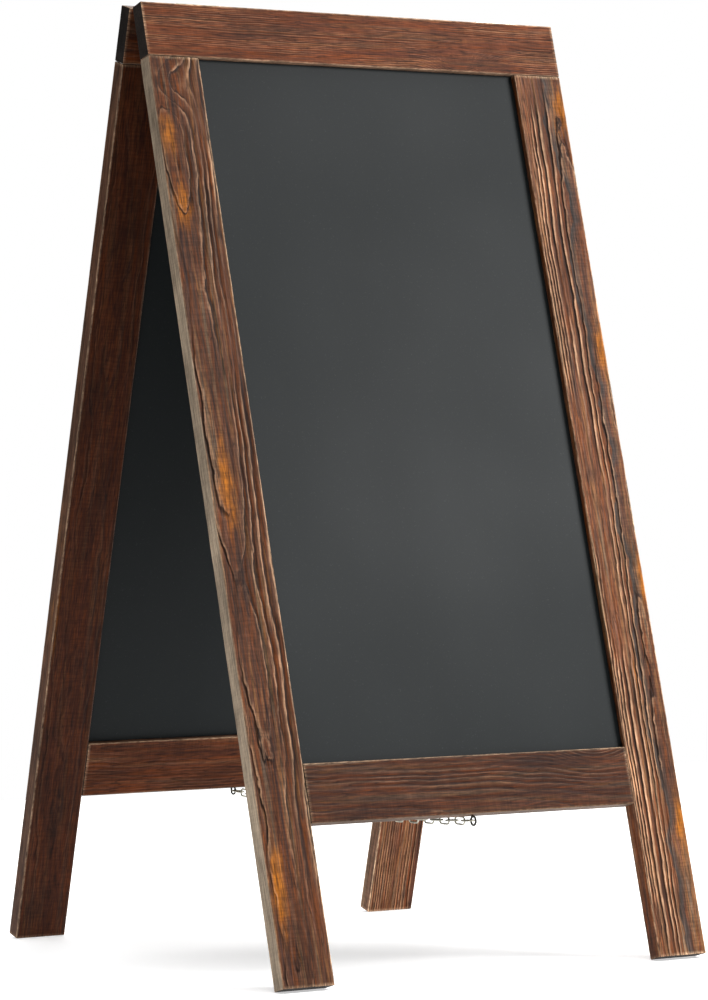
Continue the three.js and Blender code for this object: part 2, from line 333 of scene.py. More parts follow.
    # brushed harder in some places than in others
    cu = add(maths, {0: u, 1: 1 / 140}, operation="MULTIPLY")
    cv = add(maths, {0: v, 1: 1 / 22}, operation="MULTIPLY")
    at = add("ShaderNodeCombineXYZ", {0: cu, 1: cv, 2: g["seed"]})
    brushed = add("ShaderNodeTexNoise", {"Vector": at, "Scale": 1.0, "Detail": 1.0})
    brushed = add(mapRange, {"Value": brushed, 1: 0.36, 2: 0.56, 3: 0.25, 4: 1.0}, **eased)

    # which side of the plank this is, from the flat mesh's normals
    facing = add("ShaderNodeSeparateXYZ", {0: normal}).node.outputs
    masks = []
    for socket, sign in ((facing[0], 0), (facing[1], 0), (facing[2], -1)):
        lean = add(maths, {0: socket, 1: -1.0}, operation="MULTIPLY" if sign else "ABSOLUTE")
        masks.append(add(mapRange, {"Value": lean, 1: 0.6, 2: 0.85, 3: 0.0, 4: 1.0}, **eased))
    face = add("ShaderNodeCombineXYZ", {0: masks[0], 1: masks[1], 2: masks[2]})
    less = add(vectorMaths, {0: face, 1: (0.85, 0.75, 0.2)}, operation="DOT_PRODUCT")
    edges = add("ShaderNodeSeparateXYZ", {0: g["planed"]}).node.outputs
    rightward = add(mapRange, {"Value": facing[1], 1: -0.7, 2: 0.7, 3: 0.0, 4: 1.0})
    planed = add("ShaderNodeMix", {"Factor": rightward, 2: edges[0], 3: edges[1]})
    planed = add(maths, {0: planed, 1: masks[1]}, operation="MULTIPLY")
    face = add("ShaderNodeCombineXYZ", {0: masks[0], 1: planed, 2: masks[2]})

    # amber spots where the stain hardly took, with ragged ends
    ragged = add(vectorMaths, {0: grain, 1: (0.05, 0.16, 0.05)}, operation="MULTIPLY")
    ragged = add("ShaderNodeTexNoise", {"Vector": ragged, "Scale": 1.0, "Detail": 3.0})
    ragged = add(mapRange, {"Value": ragged, 1: 0.25, 2: 0.75, 3: 0.45, 4: -0.45})
    amber = None
    for label in ("spot one", "spot two", "spot three", "spot four"):
        spot = add("ShaderNodeSeparateXYZ", {0: g[label]}).node.outputs
        along = add(maths, {0: u, 1: spot[0]}, operation="SUBTRACT")
        along = add(maths, {0: along, 1: spot[2]}, operation="DIVIDE")
        across = add(maths, {0: v, 1: spot[1]}, operation="SUBTRACT")
        across = add(maths, {0: across, 1: 0.105}, operation="MULTIPLY")
        off = add("ShaderNodeCombineXYZ", {0: along, 1: across})
        off = add(vectorMaths, {0: off}, operation="LENGTH")
        off = add(maths, {0: off, 1: ragged}, operation="ADD")
        near = add(mapRange, {"Value": off, 1: 0.0, 2: 1.35, 3: 0.85, 4: 0.0}, **eased)
        amber = near if amber is None else add(maths, {0: amber, 1: near}, operation="MAXIMUM")
    outside = add(maths, {0: 1.0, 1: masks[2]}, operation="SUBTRACT")
    amber = add(maths, {0: amber, 1: outside}, operation="MULTIPLY")

    # a dark grey torn band that snakes down some planks
    band = add("ShaderNodeSeparateXYZ", {0: g["band"]}).node.outputs
    cu = add(maths, {0: u, 1: 1 / 75}, operation="MULTIPLY")
    at = add("ShaderNodeCombineXYZ", {0: cu, 1: 0.0, 2: g["seed"]})
    snake = add("ShaderNodeTexNoise", {"Vector": at, "Scale": 1.0, "Detail": 4.0})
    snake = add(mapRange, {"Value": snake, 1: 0.25, 2: 0.75, 3: -13.0, 4: 13.0})
    aside = add(maths, {0: v, 1: band[0]}, operation="SUBTRACT")
    aside = add(maths, {0: aside, 1: snake}, operation="SUBTRACT")
    aside = add(maths, {0: aside, 1: waves[3]}, operation="ADD")
    crisp = add(mapRange, {"Value": aside, 1: -0.8, 2: 0.8, 3: 0.0, 4: 1.0})
    faded = add(mapRange, {"Value": aside, 1: 0.0, 2: band[1], 3: 1.0, 4: 0.0}, **eased)
    torn = add(maths, {0: crisp, 1: faded}, operation="MULTIPLY")
    torn = add(maths, {0: torn, 1: band[2]}, operation="MULTIPLY")
    marks = add("ShaderNodeCombineXYZ", {0: amber, 1: torn, 2: cut})
    share = add(maths, {0: 1.0, 1: less}, operation="SUBTRACT")
    share = add(maths, {0: share, 1: brushed}, operation="MULTIPLY")

    # how near the closest arris is
    gaps = []
    for socket, total in ((u, size[0]), (v, size[1]), (w, size[2])):
        other = add(maths, {0: total, 1: socket}, operation="SUBTRACT")
        gaps.append(add(maths, {0: socket, 1: other}, operation="MINIMUM"))
    lower = add(maths, {0: gaps[0], 1: gaps[1]}, operation="MINIMUM")
    upper = add(maths, {0: gaps[0], 1: gaps[1]}, operation="MAXIMUM")
    upper = add(maths, {0: upper, 1: gaps[2]}, operation="MINIMUM")
    edge = add(maths, {0: lower, 1: upper}, operation="MAXIMUM")
    wear = add(mapRange, {"Value": edge, 1: 0.4, 2: 2.0, 3: 1.0, 4: 0.0}, **eased)
    # the arris at the start of v gets less of the wear and the painted highlight, which is set strongest on the
    # other arris, as if lit from that side
    rubAndHighlightShare = add(mapRange, {"Value": v, 1: 0.0, 2: size[1], 3: 0.35, 4: 1.0})
    wear = add(maths, {0: wear, 1: rubAndHighlightShare}, operation="MULTIPLY")

    # the groove's walls lie well inside the plank, and stay flat
    least = add(maths, {0: lower, 1: gaps[2]}, operation="MINIMUM")
    skin = add(maths, {0: least, 1: 0.5}, operation="LESS_THAN")

    sink = add(maths, {0: valley, 1: share}, operation="MULTIPLY")
    sink = add(maths, {0: sink, 1: g["relief"]}, operation="MULTIPLY")
    at = add(vectorMaths, {0: grain, 1: (0.02, 0.5, 0.5)}, operation="MULTIPLY")
    fibre = add("ShaderNodeTexNoise", {"Vector": at, "Scale": 1.0, "Detail": 2.0})
    fibre = add(maths, {0: fibre, 1: 0.14}, operation="MULTIPLY")
    sink = add(maths, {0: sink, 1: fibre}, operation="ADD")
    sink = add(maths, {0: sink, 1: skin}, operation="MULTIPLY")
    sink = add(maths, {0: sink, 1: -0.001}, operation="MULTIPLY")
    move = add(vectorMaths, {0: normal, "Scale": sink}, operation="SCALE")

    shift = add(maths, {0: g["seed"], 1: 131.0}, operation="MULTIPLY")
    moved = add("ShaderNodeCombineXYZ", {0: shift, 1: shift, 2: 0.0})
    marked = add(vectorMaths, {0: grain, 1: moved}, operation="ADD")
    geometry = g["Geometry"]
    # the deeper the brushing, the more its ridges were rubbed pale and the stronger the painted highlight on their
    # edges
    rubbedAndLit = add(mapRange, {"Value": g["relief"], 1: 0.3, 2: 0.85, 3: 0.42, 4: 1.0})
    share = add(maths, {0: share, 1: rubbedAndLit}, operation="MULTIPLY")
    for label, kind, value in (("grain", "FLOAT_VECTOR", marked), ("ring", "FLOAT", ring),
                               ("face", "FLOAT_VECTOR", face), ("wear", "FLOAT", wear),
                               ("brushed", "FLOAT", share), ("tone", "FLOAT_VECTOR", g["tone"]),
                               ("marks", "FLOAT_VECTOR", marks)):
        geometry = add("GeometryNodeStoreNamedAttribute",
                       {"Geometry": geometry, "Name": label, "Value": value}, data_type=kind)
    geometry = add("GeometryNodeSetPosition", {"Geometry": geometry, "Offset": move})
    geometry = add("GeometryNodeSetShadeSmooth", {"Geometry": geometry})
    finishTree(tree, geometry, finish)
    return tree


def makeStainedPine():
    # walnut-stained, wire-brushed pine: satin sheen, dark soft wood, paler hard ridges with a painted highlight
    # along their edges
    material, tree, surface = newMaterial("walnutStainedBrushedPine")
    add = partial(addNode, tree)
    at = {}
    for label in ("grain", "ring", "face", "wear", "brushed", "tone", "marks"):
        read = add("ShaderNodeAttribute", {}, attribute_name=label).node
        at[label] = read.outputs["Fac" if label in ("ring", "wear", "brushed") else "Vector"]
    tone = add("ShaderNodeSeparateXYZ", {0: at["tone"]}).node.outputs
    face = add("ShaderNodeSeparateXYZ", {0: at["face"]}).node.outputs
    amberHere, torn, cut = add("ShaderNodeSeparateXYZ", {0: at["marks"]}).node.outputs

    # noises by repeats per mm along, across and into the plank; a pattern's size is 1 over that
    looks = {}
    for label, scale, detail in (
        ("fibre", (0.035, 1.7, 1.7), 2.0),      # 29 x 0.6 mm; real ones, 0.03 mm wide, are too fine to show
        ("streak", (0.0055, 0.16, 0.16), 3.0),      # 180 x 6 mm, colour drawn along the grain
        ("blotch", (0.011, 0.045, 0.045), 2.0),     # 90 x 22 mm, uneven stain
        ("patch", (0.0075, 0.06, 0.06), 2.0),       # 130 x 17 mm, thin stain
        ("saw", (0.42, 0.05, 0.05), 1.0),           # 2.4 mm apart, the planer's marks
        ("speck", (0.16, 0.9, 0.9), 2.0),           # 6 x 1 mm, rubbed spots on the arrises
        ("grit", (0.06, 0.5, 0.5), 3.0),            # 17 x 2 mm; a brush's scratches, drawn coarser to show
        ("crack", (0.014, 0.2, 0.2), 2.0),          # 70 x 5 mm between drying cracks
    ):
        where = add(vectorMaths, {0: at["grain"], 1: scale}, operation="MULTIPLY")
        looks[label] = add("ShaderNodeTexNoise", {"Vector": where, "Scale": 1.0, "Detail": detail})

    # the growth ring at this spot, its edge frayed by the fibres
    fray = add(maths, {0: looks["fibre"], 1: 0.16}, operation="MULTIPLY")
    year = add(maths, {0: at["ring"], 1: fray}, operation="ADD")
    phase = add(maths, {0: year}, operation="FRACT")
    past = add(maths, {0: phase, 1: cut}, operation="DIVIDE")
    ahead = add(maths, {0: 1.0, 1: phase}, operation="SUBTRACT")
    ahead = add(maths, {0: ahead, 1: cut}, operation="DIVIDE")
    slow = add(mapRange, {"Value": past, 1: 0.1, 2: 0.46, 3: 1.0, 4: 0.0}, **eased)
    steep = add(mapRange, {"Value": ahead, 1: 0.0, 2: 0.1, 3: 1.0, 4: 0.0})
    valley = add(maths, {0: slow, 1: steep}, operation="MAXIMUM")
    paleCrestAndHighlight = add(mapRange, {"Value": ahead, 1: 0.1, 2: 0.5, 3: 1.0, 4: 0.0}, **eased)
    notSteep = add(maths, {0: 1.0, 1: steep}, operation="SUBTRACT")
    paleCrestAndHighlight = add(maths, {0: paleCrestAndHighlight, 1: notSteep}, operation="MULTIPLY")

    # the stain's own colour, banded by the streaks
    bands = add("ShaderNodeValToRGB", {"Fac": looks["streak"]}).node
    stops = ((0.30, "#271a17"), (0.40, "#3d2a22"), (0.46, "#4a2d21"), (0.52, "#422f28"),
             (0.58, "#563d2e"), (0.66, "#40362f"), (0.75, "#5f4937"))
    ramp = bands.color_ramp
    while len(ramp.elements) < len(stops):
        ramp.elements.new(0.5)
    for stop, (position, colour) in zip(ramp.elements, stops):
        stop.position = position
        stop.color = linear(colour)
    colour = bands.outputs[0]

    # dark soft wood, and pale hard ridges whose edge beside each valley also carries a painted highlight
    dark = add(maths, {0: valley, 1: at["brushed"]}, operation="MULTIPLY")
    dark = add(maths, {0: dark, 1: 0.92}, operation="MULTIPLY")
    paleRidgeAndHighlight = add(maths, {0: paleCrestAndHighlight, 1: at["brushed"]}, operation="MULTIPLY")
    thin = add(mapRange, {"Value": cut, 1: 0.3, 2: 0.9, 3: 0.25, 4: 0.9})
    for factor in (thin, at["brushed"]):
        paleRidgeAndHighlight = add(maths, {0: paleRidgeAndHighlight, 1: factor}, operation="MULTIPLY")

    # amber where the stain hardly took
    patch = add(maths, {0: looks["patch"], 1: tone[2]}, operation="ADD")
    patch = add(mapRange, {"Value": patch, 1: 0.66, 2: 0.82, 3: 0.0, 4: 0.6}, **eased)
    patch = add(maths, {0: patch, 1: amberHere}, operation="MAXIMUM")
    amber = add("ShaderNodeMix", {"Factor": looks["fibre"], 6: linear("#603f2c"), 7: linear("#956444")},
                data_type="RGBA")

    # planed edges took the stain thinly and look grey-beige; end grain drank it
    fine = add(mapRange, {"Value": looks["fibre"], 1: 0.3, 2: 0.7, 3: 0.0, 4: 1.0})
    beige = add("ShaderNodeMix", {"Factor": fine, 6: linear("#6e6459"), 7: linear("#8c8174")},
                data_type="RGBA")
    planed = add(maths, {0: face[1], 1: 0.85}, operation="MULTIPLY")
    ends = add("ShaderNodeMix", {"Factor": valley, 6: linear("#1d1917"), 7: linear("#070606")},
               data_type="RGBA")

    # rubbed arrises, with a painted highlight laid over the wear
    rubAndHighlight = add(mapRange, {"Value": looks["speck"], 1: 0.35, 2: 0.6, 3: 0.15, 4: 0.85})
    rubAndHighlight = add(maths, {0: rubAndHighlight, 1: at["wear"]}, operation="MULTIPLY")
    notEnd = add(maths, {0: 1.0, 1: face[0]}, operation="SUBTRACT")
    rubAndHighlight = add(maths, {0: rubAndHighlight, 1: notEnd}, operation="MULTIPLY")

    # the layers from the bottom up, each laid over the last by its share
    for share, over in ((tone[1], linear(timber["red"])), (patch, amber), (torn, linear(timber["torn"])),
                        (dark, linear(timber["softWood"])), (paleRidgeAndHighlight, linear(timber["hardWoodAndHighlight"])),
                        (planed, beige), (face[0], ends), (rubAndHighlight, linear(timber["rubbedAndLit"]))):
        colour = add("ShaderNodeMix", {"Factor": share, 6: colour, 7: over}, data_type="RGBA")

    # fibres, blotches and saw marks as light and dark
    value = add(mapRange, {"Value": looks["fibre"], 1: 0.25, 2: 0.75, 3: 0.75, 4: 1.25})
    grit = add(mapRange, {"Value": looks["grit"], 1: 0.3, 2: 0.7, 3: 0.6, 4: 1.58})
    crack = add(maths, {0: looks["crack"], 1: 0.5}, operation="SUBTRACT")
    crack = add(maths, {0: crack}, operation="ABSOLUTE")
    crack = add(mapRange, {"Value": crack, 1: 0.004, 2: 0.03, 3: 0.5, 4: 1.0})
    cloud = add(mapRange, {"Value": looks["blotch"], 1: 0.3, 2: 0.7, 3: 0.68, 4: 1.26})
    sawn = add(mapRange, {"Value": cut, 1: 0.3, 2: 0.8, 3: 0.8, 4: 0.97})
    marks = add(mapRange, {"Value": looks["saw"], 1: 0.42, 2: 0.58, 3: sawn, 4: 1.06})
    for factor in (grit, crack):        # planed edges are smooth, so they show half of it
        calm = add(maths, {0: face[1], 1: 0.6}, operation="MULTIPLY")
        factor = add("ShaderNodeMix", {"Factor": calm, 2: factor, 3: 1.0})
        value = add(maths, {0: value, 1: factor}, operation="MULTIPLY")
    for factor in (cloud, marks, tone[0]):
        value = add(maths, {0: value, 1: factor}, operation="MULTIPLY")
    colour = add("ShaderNodeHueSaturation", {"Hue": timber["hue"], "Saturation": timber["saturation"],
                                             "Value": value, "Color": colour})
    tree.links.new(colour, surface.inputs["Base Color"])

    rough = add(mapRange, {"Value": looks["fibre"], 1: 0.2, 2: 0.8, 3: 0.68, 4: 0.48})
    tree.links.new(rough, surface.inputs["Roughness"])
    height = add(maths, {0: looks["saw"], 1: 0.5}, operation="MULTIPLY")
    height = add(maths, {0: height, 1: looks["fibre"]}, operation="ADD")
    bump = add("ShaderNodeBump", {"Strength": 0.5, "Distance": 0.0003, "Height": height})
    tree.links.new(bump, surface.inputs["Normal"])
    surface.inputs["Specular IOR Level"].default_value = 0.132
    return material


stainedPine = makeStainedPine()
plankGrain = grainTree(stainedPine)

# each plank's log: where its pith lies (mm), how its rings run and how it took the stain. tone is how
# bright, how red and how thinly stained it is; planed is how smooth its two long edges are; a knot is a
# place in mm; a spot is how far along, how far across and how long; a band is where, how wide, how strong
logs = {
    "front_left_stile": dict(
        side=19, depth=29, tilt=16, wander=17, wobble=3.0, tear=1.7, ring=4.5, relief=0.9, seed=1.0,
        tone=(1.45, 0.04, -0.1), planed=(1, 0.2), knot=(26, 25, 18), knotSize=19, lift=0.6,
        spots=((88, 10, 24), (162, 16, 26), (452, 19, 50), (858, 11, 48))),
    # this stile's brightness is raised as painted light, standing in for the key light falling on it from the
    # right
    "front_right_stile": dict(
        side=49, depth=27, tilt=-12, wander=7, wobble=3.4, tear=1.8, ring=4.5, relief=1.0, seed=2.0,
        tone=(2.1, 0.05, -0.05), planed=(0, 0), band=(38, 13, 1.0),
        spots=((40, 56, 26), (310, 54, 30), (560, 58, 30), (819, 56, 30))),
    # this rail's brightness is raised as painted light, standing in for the key light's sheen on it
    "front_top_rail": dict(
        side=-62, depth=26, tilt=4, wander=6, wobble=2, tear=0.5, ring=2.1, relief=0.4, seed=3.0,
        tone=(1.75, 0.5, -0.1), knot=(384, -2, 18), knotSize=25, lift=-0.95),
    "front_bottom_rail": dict(
        side=-4, depth=36, tilt=26, wander=12, wobble=3, tear=1.0, ring=4.0, relief=0.4, seed=4.0,
        tone=(0.9, 0.25, -0.1), knot=(350, 66, 18), knotSize=24),
    "back_left_stile": dict(
        side=30, depth=40, tilt=9, wander=9, wobble=3, tear=0.9, ring=3.4, relief=0.45, seed=5.0,
        tone=(0.85, 0.6, 0.0), spots=((120, 8, 40), (500, 50, 40))),
    "back_right_stile": dict(
        side=-20, depth=20, tilt=6, wander=4, wobble=1.4, tear=0.5, ring=2.7, relief=0.8, seed=6.0,
        tone=(2.05, 0.2, 0.0), spots=((860, 8, 40), (300, 30, 40))),
    "back_top_rail": dict(
        side=40, depth=50, tilt=12, wander=8, wobble=3, tear=0.8, ring=3.0, relief=0.4, seed=7.0,
        tone=(1.2, 0.35, -0.05), knot=(140, 40, 18), knotSize=16),
    "back_bottom_rail": dict(
        side=70, depth=30, tilt=8, wander=8, wobble=3, tear=0.8, ring=2.8, relief=0.35, seed=8.0,
        tone=(1.25, 0.45, -0.05), spots=((300, 40, 30),)),
}


def plankFrame(node):
    # the plank's size without its tenons, and the matrix that puts it in its place
    face = node.split("_")[0]
    gap = timber["jointGap"] * mm
    low, high = panelBox(node)
    if "stile" in node:
        high.z = panelBox(face + "_top_rail")[0].z - gap
    if "bottom_rail" in node:
        stiles = [panelBox(face + hand) for hand in ("_left_stile", "_right_stile")]
        stiles.sort(key=lambda b: b[0].x)
        low.x, high.x = stiles[0][1].x + gap, stiles[1][0].x - gap
    size = high - low
    if "stile" in node:     # along the grain is down the slope, across runs to the viewer's right
        axes = [Vector((0, 0, -1)), Vector((-1, 0, 0)), Vector((0, 1, 0))]
        corner = Vector((high.x, low.y, high.z))
        size = Vector((size.z, size.x, size.y))
    else:
        axes = [Vector((-1, 0, 0)), Vector((0, 0, 1)), Vector((0, 1, 0))]
        corner = Vector((high.x, low.y, low.z))
        size = Vector((size.x, size.z, size.y))
    turn = Matrix(axes).transposed().to_4x4()
    return size / mm, panelPlace(face) @ Matrix.Translation(corner) @ turn


def boardGroove(node, size, place):
    # the chalkboard's slot in this plank, in the plank's own mm
    face = node.split("_")[0]
    low, high = panelBox(face + "_chalkboard")
    back = place.inverted() @ panelPlace(face)
    ends = [back @ low / mm, back @ high / mm]
    spread = [sorted((ends[0][i], ends[1][i])) for i in range(3)]
    gap = timber["jointGap"]
    x0 = max(spread[0][0] - 1, 6.0)
    x1 = min(spread[0][1] + 1, size[0] - 6.0)
    side = -1 if spread[1][0] < 0 else 1
    return {"x": (x0, x1), "z": (spread[2][0] - gap, spread[2][1] + gap), "side": side}


def makePlank(node):
    size, place = plankFrame(node)
    log = logs[node]
    fineRings = log["ring"] < 3
    step = (timber["stepAlong"], timber["stepAcross"] * (0.8 if fineRings else 1), timber["stepThick"])
    mesh = plankMesh(node, size, step, boardGroove(node, size, place))
    spots = [Vector(spot) for spot in log.get("spots", ())]
    spots += [Vector((-900, 0, 1))] * (4 - len(spots))      # the unused ones lie far off the plank
    plank = runTree(node.replace("_", "-"), mesh, plankGrain, {
        "size": size, "pith side": float(log["side"]), "pith depth": float(log["depth"]),
        "pith tilt": float(log["tilt"]), "wander": float(log["wander"]), "wobble": float(log["wobble"]),
        "tear": float(log["tear"]), "ring width": log["ring"], "valley": 0.5, "relief": log["relief"],
        "knot": Vector(log.get("knot", (-500, 0, 0))), "knot size": float(log.get("knotSize", 10)),
        "knot lift": log.get("lift", 0.85),
        "seed": log["seed"] * 7.3, "tone": Vector(log["tone"]),
        "planed": Vector((*log.get("planed", (0.4, 0.2)), 0)),
        "band": Vector(log.get("band", (-200, 1, 0))),
        "spot one": spots[0], "spot two": spots[1], "spot three": spots[2], "spot four": spots[3],
    })
    plank.data.transform(place)
    plank.data.update()
    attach(plank, node.split("_")[0] + "_frame")
    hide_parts(node)
    print(node, "has", len(plank.data.polygons), "faces")


for plankName in logs:
    makePlank(plankName)
print("timber ready")


def makeChalkPaint():
    # satin chalkboard paint rolled on hardboard: dull, faintly pebbled, wiped streaks of dust
    material, tree, surface = newMaterial("satinChalkboardPaint")
    add = partial(addNode, tree)
    place = add("ShaderNodeTexCoord").node.outputs["Object"]
    looks = {}
    for label, scale, detail in (       # repeats per m
        ("pebble", (900, 900, 900), 2.0),       # 1.1 mm, a roller's texture
        ("wipe", (9, 6, 2.2), 3.0),             # 110 mm wide, 450 mm tall strokes of a cloth
        ("haze", (3, 3, 3), 2.0),               # 330 mm
        ("dust", (600, 600, 600), 1.0),         # 1.7 mm; chalk dust is finer, and wouldn't show
    ):
        where = add(vectorMaths, {0: place, 1: scale}, operation="MULTIPLY")
        looks[label] = add("ShaderNodeTexNoise", {"Vector": where, "Scale": 1.0, "Detail": detail})
    wipe = add(mapRange, {"Value": looks["wipe"], 1: 0.35, 2: 0.75, 3: 0.0, 4: 0.5})
    colour = add("ShaderNodeMix", {"Factor": wipe, 6: linear("#171b1c"), 7: linear("#1e2223")},
                 data_type="RGBA")
    dust = add(mapRange, {"Value": looks["dust"], 1: 0.66, 2: 0.8, 3: 0.0, 4: 0.25})
    colour = add("ShaderNodeMix", {"Factor": dust, 6: colour, 7: linear("#4a4f4e")}, data_type="RGBA")
    tree.links.new(colour, surface.inputs["Base Color"])
    rough = add(mapRange, {"Value": looks["haze"], 1: 0.3, 2: 0.7, 3: 0.44, 4: 0.54})
    tree.links.new(rough, surface.inputs["Roughness"])
    surface.inputs["Specular IOR Level"].default_value = 0.13
    bump = add("ShaderNodeBump", {"Strength": 0.12, "Distance": 0.0002, "Height": looks["pebble"]})
    tree.links.new(bump, surface.inputs["Normal"])
    return material


chalkPaint = makeChalkPaint()
chalkboard = {
    "step": 12.0,            # mm between mesh points
    "bow": 0.35,             # how far the thin board bows
    "inset": 0.15,           # how far each face lies inside its CAD face
    "sharp": 30,             # degrees, past which an edge is drawn sharp
}


def makeChalkboard(face):
    node = face + "_chalkboard"
    low, high = panelBox(node)
    size = (high - low) / mm
    counts = [max(2, round(size[i] / chalkboard["step"])) for i in (0, 2)]
    bm = bmesh.new()
    bmesh.ops.create_grid(bm, x_segments=counts[0], y_segments=counts[1], size=0.5)
    for vert in bm.verts:
        s, t = vert.co.x * 2, vert.co.y * 2
        bow = chalkboard["bow"] * mm * (1 - s * s) * (1 - t * t) * math.sin(3 * s + 2 * t)
        vert.co = Vector((low.x + (high.x - low.x) * (s + 1) / 2, high.y - bow,
                          low.z + (high.z - low.z) * (t + 1) / 2))
    bmesh.ops.reverse_faces(bm, faces=bm.faces)
    made = bmesh.ops.extrude_face_region(bm, geom=bm.faces[:])
    moved = [g for g in made["geom"] if isinstance(g, bmesh.types.BMVert)]
    bmesh.ops.translate(bm, verts=moved, vec=(0, low.y - high.y + 2 * chalkboard["inset"] * mm, 0))
    for vert in bm.verts:
        vert.co.y -= chalkboard["inset"] * mm
    bmesh.ops.recalc_face_normals(bm, faces=bm.faces)
    mesh = bpy.data.meshes.new(face + "-chalkboard")
    bm.to_mesh(mesh)
    bm.free()
    mesh.shade_smooth()
    mesh.set_sharp_from_angle(angle=math.radians(chalkboard["sharp"]))
    mesh.transform(panelPlace(face))
    mesh.materials.append(chalkPaint)
    board = bpy.data.objects.new(face + "-chalkboard", mesh)
    bpy.context.scene.collection.objects.link(board)
    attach(board, face + "_frame")
    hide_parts(node)


for side in ("front", "back"):
    makeChalkboard(side)
print("chalkboards ready")


def makeMetal(name, colour, worn, rough, grit):
    # plated or darkened steel: a soft, slightly cloudy shine with finger-dulled patches;
    # the clouds are 8 mm, and the plating's grain is drawn at grit mm, coarser than real, to show
    material, tree, surface = newMaterial(name)
    add = partial(addNode, tree)
    place = add("ShaderNodeTexCoord").node.outputs["Object"]
    cloud = add("ShaderNodeTexNoise", {"Vector": place, "Scale": 120.0, "Detail": 3.0})
    fine = add("ShaderNodeTexNoise", {"Vector": place, "Scale": 1000 / grit, "Detail": 2.0})
    mixed = add(mapRange, {"Value": cloud, 1: 0.35, 2: 0.65, 3: 0.0, 4: 1.0})
    tint = add("ShaderNodeMix", {"Factor": mixed, 6: linear(colour), 7: linear(worn)}, data_type="RGBA")
    tree.links.new(tint, surface.inputs["Base Color"])
    dull = add(mapRange, {"Value": fine, 1: 0.3, 2: 0.7, 3: rough - 0.06, 4: rough + 0.1})
    tree.links.new(dull, surface.inputs["Roughness"])
    bump = add("ShaderNodeBump", {"Strength": 0.2, "Distance": 0.0001, "Height": fine})
    tree.links.new(bump, surface.inputs["Normal"])
    surface.inputs["Metallic"].default_value = 1.0
    return material


zincPlate = makeMetal("zincPlatedSteel", "#b9b8ae", "#8f8f88", 0.34, 0.6)
darkWire = makeMetal("darkenedSteelWire", "#4c4a46", "#302e2b", 0.42, 0.5)
chainWire = makeMetal("zincPlatedChainWire", "#c4c1b2", "#98968a", 0.38, 0.5)


chainSizes = {
    "wire": 1.9,             # mm
    "width": 9.5,
    "length": 18.4,
    "weld": 0.12,            # how far the butt weld swells the wire, as a share
    "bend": 10,              # steps round each end
    "sides": 12,
}


def linkTree():
    # one link at every point: a bent wire loop, turned by the point's own angles
    tree, given = newTree("weldedLinks", {
        "width": "Float", "length": "Float", "wire": "Float", "weld": "Float",
        "bend": "Int", "sides": "Int", "finish": "Material",
    })
    add = partial(addNode, tree)
    g = given.outputs
    wide = add(maths, {0: g["width"], 1: g["wire"]}, operation="SUBTRACT")
    long = add(maths, {0: g["length"], 1: g["wire"]}, operation="SUBTRACT")
    outline = add("GeometryNodeCurvePrimitiveQuadrilateral", {"Width": wide, "Height": long})
    half = add(maths, {0: wide, 1: 0.499}, operation="MULTIPLY")
    outline = add("GeometryNodeFilletCurve", {"Curve": outline, "Count": g["bend"], "Radius": half},
                  mode="POLY")
    outline = add("GeometryNodeResampleCurve", {"Curve": outline, "Count": 44})
    place = add("GeometryNodeInputPosition")
    at = add("ShaderNodeSeparateXYZ", {0: place}).node.outputs
    # the weld sits in the middle of one long side
    offset = add(maths, {0: at[1], 1: g["wire"]}, operation="DIVIDE")
    offset = add(maths, {0: offset, 1: offset}, operation="MULTIPLY")
    offset = add(maths, {0: offset, 1: -2.2}, operation="MULTIPLY")
    swell = add(maths, {0: offset}, operation="EXPONENT")
    oneSide = add(maths, {0: at[0], 1: 0.0}, operation="GREATER_THAN")
    swell = add(maths, {0: swell, 1: oneSide}, operation="MULTIPLY")
    swell = add(maths, {0: swell, 1: g["weld"]}, operation="MULTIPLY")
    scale = add(maths, {0: swell, 1: 1.0}, operation="ADD")
    thick = add(maths, {0: g["wire"], 1: 0.5}, operation="MULTIPLY")
    section = add("GeometryNodeCurvePrimitiveCircle", {"Resolution": g["sides"], "Radius": thick})
    loop = add("GeometryNodeCurveToMesh", {"Curve": outline, "Profile Curve": section, "Scale": scale})
    loop = add("GeometryNodeSetShadeSmooth", {"Geometry": loop})
    turn = add("GeometryNodeInputNamedAttribute", {"Name": "turn"}, data_type="FLOAT_VECTOR")
    links = add("GeometryNodeInstanceOnPoints",
                {"Points": g["Geometry"], "Instance": loop, "Rotation": turn})
    finishTree(tree, links, g["finish"])
    return tree


weldedLinks = linkTree()


def makeChain(body, nodes):
    middles, turns = [], []
    for node in nodes:
        low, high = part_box(node)
        middles.append((low + high) / 2)
        number = int(node.rsplit("_", 1)[1])
        flat = number % 2 == 1
        co = np.array([v.co for v in frame["nodes"][node].data.vertices])
        slope = np.polyfit(co[:, 1], co[:, 2], 1)[0]
        turns.append((math.atan(slope), 0.0 if flat else math.pi / 2, 0.0))
    points = bpy.data.meshes.new(body)
    points.from_pydata([tuple(p) for p in middles], [], [])
    mark = points.attributes.new("turn", "FLOAT_VECTOR", "POINT")
    mark.data.foreach_set("vector", np.array(turns, np.float32).ravel())
    c = chainSizes
    chain = runTree(body.replace("_", "-"), points, weldedLinks, {
        "width": c["width"] * mm, "length": c["length"] * mm, "wire": c["wire"] * mm,
        "weld": c["weld"], "bend": c["bend"], "sides": c["sides"], "finish": chainWire,
    })
    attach(chain, body)
    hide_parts(*nodes)


joiningLink = "chain_link_17"       # open on one side, so it keeps its own shape
for bodyName, bodyNodes in frame["record"]["behaviour"]["bodies"].items():
    if "chain" in bodyName:
        makeChain(bodyName, [node for node in bodyNodes if node != joiningLink])
print("chain ready")


screwSizes = {
    "head": 6.2,             # mm across
    "rim": 0.7,              # head's edge above the cone
    "crown": 0.35,           # how far the head bulges
    "shank": 3.0,
    "recess": 3.6,           # the cross, tip to tip
    "blade": 0.9,
    "recessDepth": 0.8,
    "sharp": 32,             # degrees, past which an edge is drawn sharp
}


